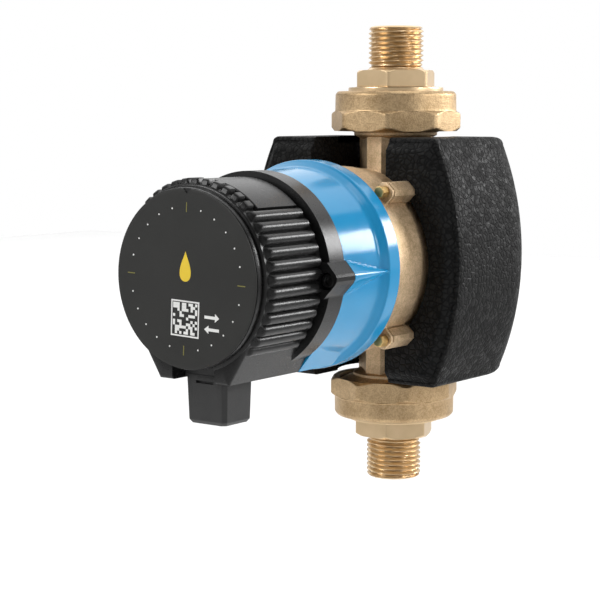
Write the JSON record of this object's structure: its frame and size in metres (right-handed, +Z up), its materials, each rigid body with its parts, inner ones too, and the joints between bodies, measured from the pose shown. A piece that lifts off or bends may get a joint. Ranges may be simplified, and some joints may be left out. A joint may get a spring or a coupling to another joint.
{
  "type": "circulator pump",
  "caption": "Small in-line hot-water circulator with brass housing, threaded union nipples, blue motor, ribbed black control head with turning front dial, and foam insulation shells.",
  "frame": {"origin": "centre of the inlet nipple's end face, on the pipe axis", "axes": "+Z up the pipe from inlet to outlet, -Y out along the motor axis to the dial, +X to the right seen from the dial"},
  "size_m": [0.0938, 0.1533, 0.1726],
  "materials": {
    "brass": "blasted casting, machined threads",
    "steel": "plain",
    "blue_plastic": "gloss moulding",
    "black_plastic": "satin moulding",
    "dial_grey": "matt printed face",
    "foam": "moulded bead foam",
    "rubber": "matt",
    "fibre": "pressed fibre",
    "ceramic": "polished ceramic",
    "ferrite": "sintered",
    "core_steel": "laminated",
    "copper": "enamelled wire",
    "ivory_plastic": "moulded",
    "board": "coated board"
  },
  "bodies": {
    "pump": {"pump_housing": "brass", "motor_ring": "brass", "inlet_nipple": "brass", "outlet_nipple": "brass", "inlet_gasket": "fibre", "outlet_gasket": "fibre", "housing_o_ring": "rubber", "flange_bolt_1": "steel", "flange_bolt_2": "steel", "flange_bolt_3": "steel", "flange_bolt_4": "steel", "check_valve_cage": "ivory_plastic", "check_valve_spring": "steel", "separating_shell": "steel", "bearing_pin": "steel", "bearing_ball": "ceramic", "stator_core": "core_steel", "motor_housing": "blue_plastic", "control_housing": "black_plastic", "control_screw_left": "steel", "control_screw_right": "steel", "circuit_board": "board", "potentiometer": "black_plastic", "board_capacitor": "ferrite", "board_choke": "copper", "mains_header": "ivory_plastic", "mains_pin_1": "brass", "mains_pin_2": "brass", "mains_pin_3": "brass", "stator_coil_1": "copper", "stator_coil_2": "copper", "stator_coil_3": "copper", "stator_coil_4": "copper", "stator_coil_5": "copper", "stator_coil_6": "copper"},
    "rotor": {"rotor_magnet": "ferrite", "impeller": "ivory_plastic"},
    "dial": {"front_dial": "dial_grey", "dial_face": "dial_grey", "potentiometer_shaft": "steel"},
    "inlet_nut": {"inlet_union_nut": "brass"},
    "outlet_nut": {"outlet_union_nut": "brass"},
    "valve_cone": {"check_valve_cone": "ivory_plastic"},
    "plug": {"plug_body": "black_plastic", "plug_grommet": "rubber"},
    "foam_left": {"insulation_left": "foam"},
    "foam_right": {"insulation_right": "foam"}
  },
  "joints": [
    {"name": "rotor_spin", "type": "hinge", "parent": "pump", "child": "rotor", "pos_m": [0, -0.0542, 0.0863], "axis": [0, -1, 0], "continuous": true},
    {"name": "dial_turn", "type": "hinge", "parent": "pump", "child": "dial", "pos_m": [0, -0.1205, 0.0863], "axis": [0, -1, 0], "range_deg": [-150, 150]},
    {"name": "inlet_nut_turn", "type": "hinge", "parent": "pump", "child": "inlet_nut", "pos_m": [0, 0, 0.0318], "axis": [0, 0, 1], "continuous": true},
    {"name": "outlet_nut_turn", "type": "hinge", "parent": "pump", "child": "outlet_nut", "pos_m": [0, 0, 0.1408], "axis": [0, 0, 1], "continuous": true},
    {"name": "valve_lift", "type": "slide", "parent": "pump", "child": "valve_cone", "axis": [0, 0, 1], "range_m": [0, 0.005], "stiffness_N_per_m": 40, "springref_m": -0.002, "deforming": ["check_valve_spring"]},
    {"name": "plug_pull", "type": "slide", "parent": "pump", "child": "plug", "axis": [0, 0, -1], "range_m": [0, 0.02]},
    {"name": "foam_left_pull", "type": "slide", "parent": "pump", "child": "foam_left", "axis": [-1, 0, 0], "range_m": [0, 0.04]},
    {"name": "foam_right_pull", "type": "slide", "parent": "pump", "child": "foam_right", "axis": [1, 0, 0], "range_m": [0, 0.04]}
  ]
}
